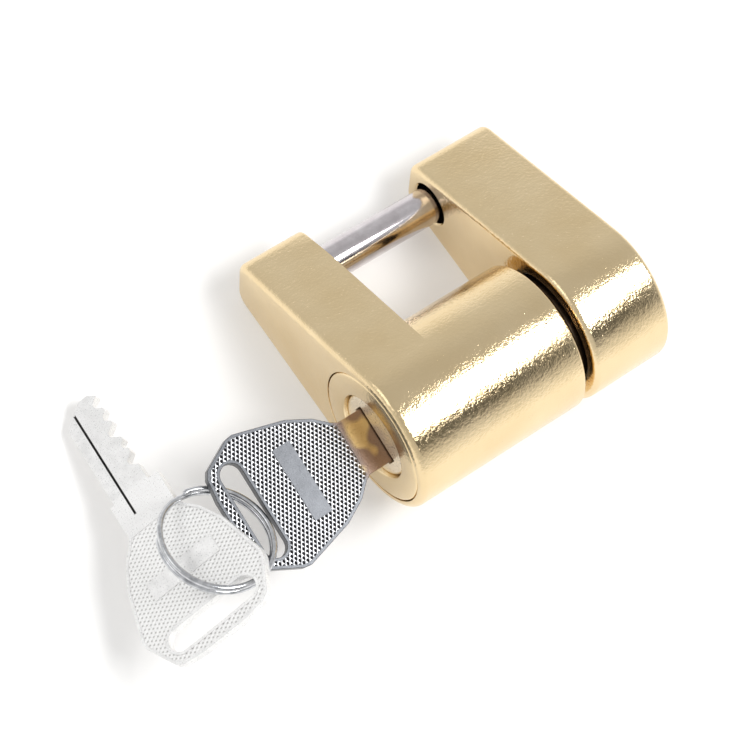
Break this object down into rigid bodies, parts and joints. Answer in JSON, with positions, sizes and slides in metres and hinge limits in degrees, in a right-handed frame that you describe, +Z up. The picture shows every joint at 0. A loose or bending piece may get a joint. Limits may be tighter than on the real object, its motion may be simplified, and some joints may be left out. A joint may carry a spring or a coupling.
{
  "type": "trailer coupler lock",
  "caption": "L-shaped plated coupler lock with a hitch pin, a slide-off receiver head, a key cylinder that turns a T-bolt, and keys on a split ring.",
  "frame": {"origin": "middle of the arm's share of the flat side that the lock lies on", "axes": "+X from the key face to the receiver head, +Y from the lock cylinder to the hitch pin, +Z up"},
  "size_m": [0.0987, 0.0514, 0.0264],
  "materials": {
    "gold_plate": "gold-coloured plating, bright and slightly grainy",
    "chrome_pin": "polished",
    "plain_steel": "plain machined",
    "dark_steel": "dark oiled",
    "solid_brass": "turned",
    "key_nickel": "nickel plated, dimpled bow",
    "ring_steel": "bright drawn wire"
  },
  "bodies": {
    "lock_body": {"body_housing": "gold_plate", "hitch_pin": "chrome_pin", "cylinder_set_screw": "plain_steel", "collar_set_screw": "plain_steel", "cylinder_shell": "solid_brass", "spring_cover": "solid_brass", "spigot_collar": "dark_steel", "driver_pin_1": "solid_brass", "pin_spring_1": "plain_steel", "driver_pin_2": "solid_brass", "pin_spring_2": "plain_steel", "driver_pin_3": "solid_brass", "pin_spring_3": "plain_steel", "driver_pin_4": "solid_brass", "pin_spring_4": "plain_steel", "driver_pin_5": "solid_brass", "pin_spring_5": "plain_steel"},
    "head": {"receiver_head": "gold_plate", "latch_plate": "plain_steel", "latch_screw_1": "plain_steel", "latch_screw_2": "plain_steel"},
    "plug": {"lock_plug": "solid_brass", "plug_clip": "plain_steel", "turn_bolt": "plain_steel", "key_pin_1": "solid_brass", "key_pin_2": "solid_brass", "key_pin_3": "solid_brass", "key_pin_4": "solid_brass", "key_pin_5": "solid_brass"},
    "key": {"key_in_lock": "key_nickel"},
    "ring": {"split_ring": "ring_steel"},
    "spare": {"spare_key": "key_nickel"}
  },
  "joints": [
    {"name": "head_slide", "type": "slide", "parent": "lock_body", "child": "head", "axis": [1, 0, 0], "range_m": [0, 0.02]},
    {"name": "plug_turn", "type": "hinge", "parent": "lock_body", "child": "plug", "pos_m": [-0.0062, -0.01715, 0.0132], "axis": [1, 0, 0], "range_deg": [0, 90]},
    {"name": "key_slide", "type": "slide", "parent": "plug", "child": "key", "axis": [-1, 0, 0], "range_m": [0, 0.025]},
    {"name": "ring_swing", "type": "hinge", "parent": "key", "child": "ring", "pos_m": [-0.0324, -0.01715, 0.0132], "axis": [0, 0.9845, 0.1754], "range_deg": [-8, 3]},
    {"name": "spare_key_slide_round", "type": "hinge", "parent": "ring", "child": "spare", "pos_m": [-0.03698, -0.01815, 0.01463], "axis": [0.2689, 0.1507, 0.9513], "range_deg": [-3, 30]}
  ]
}
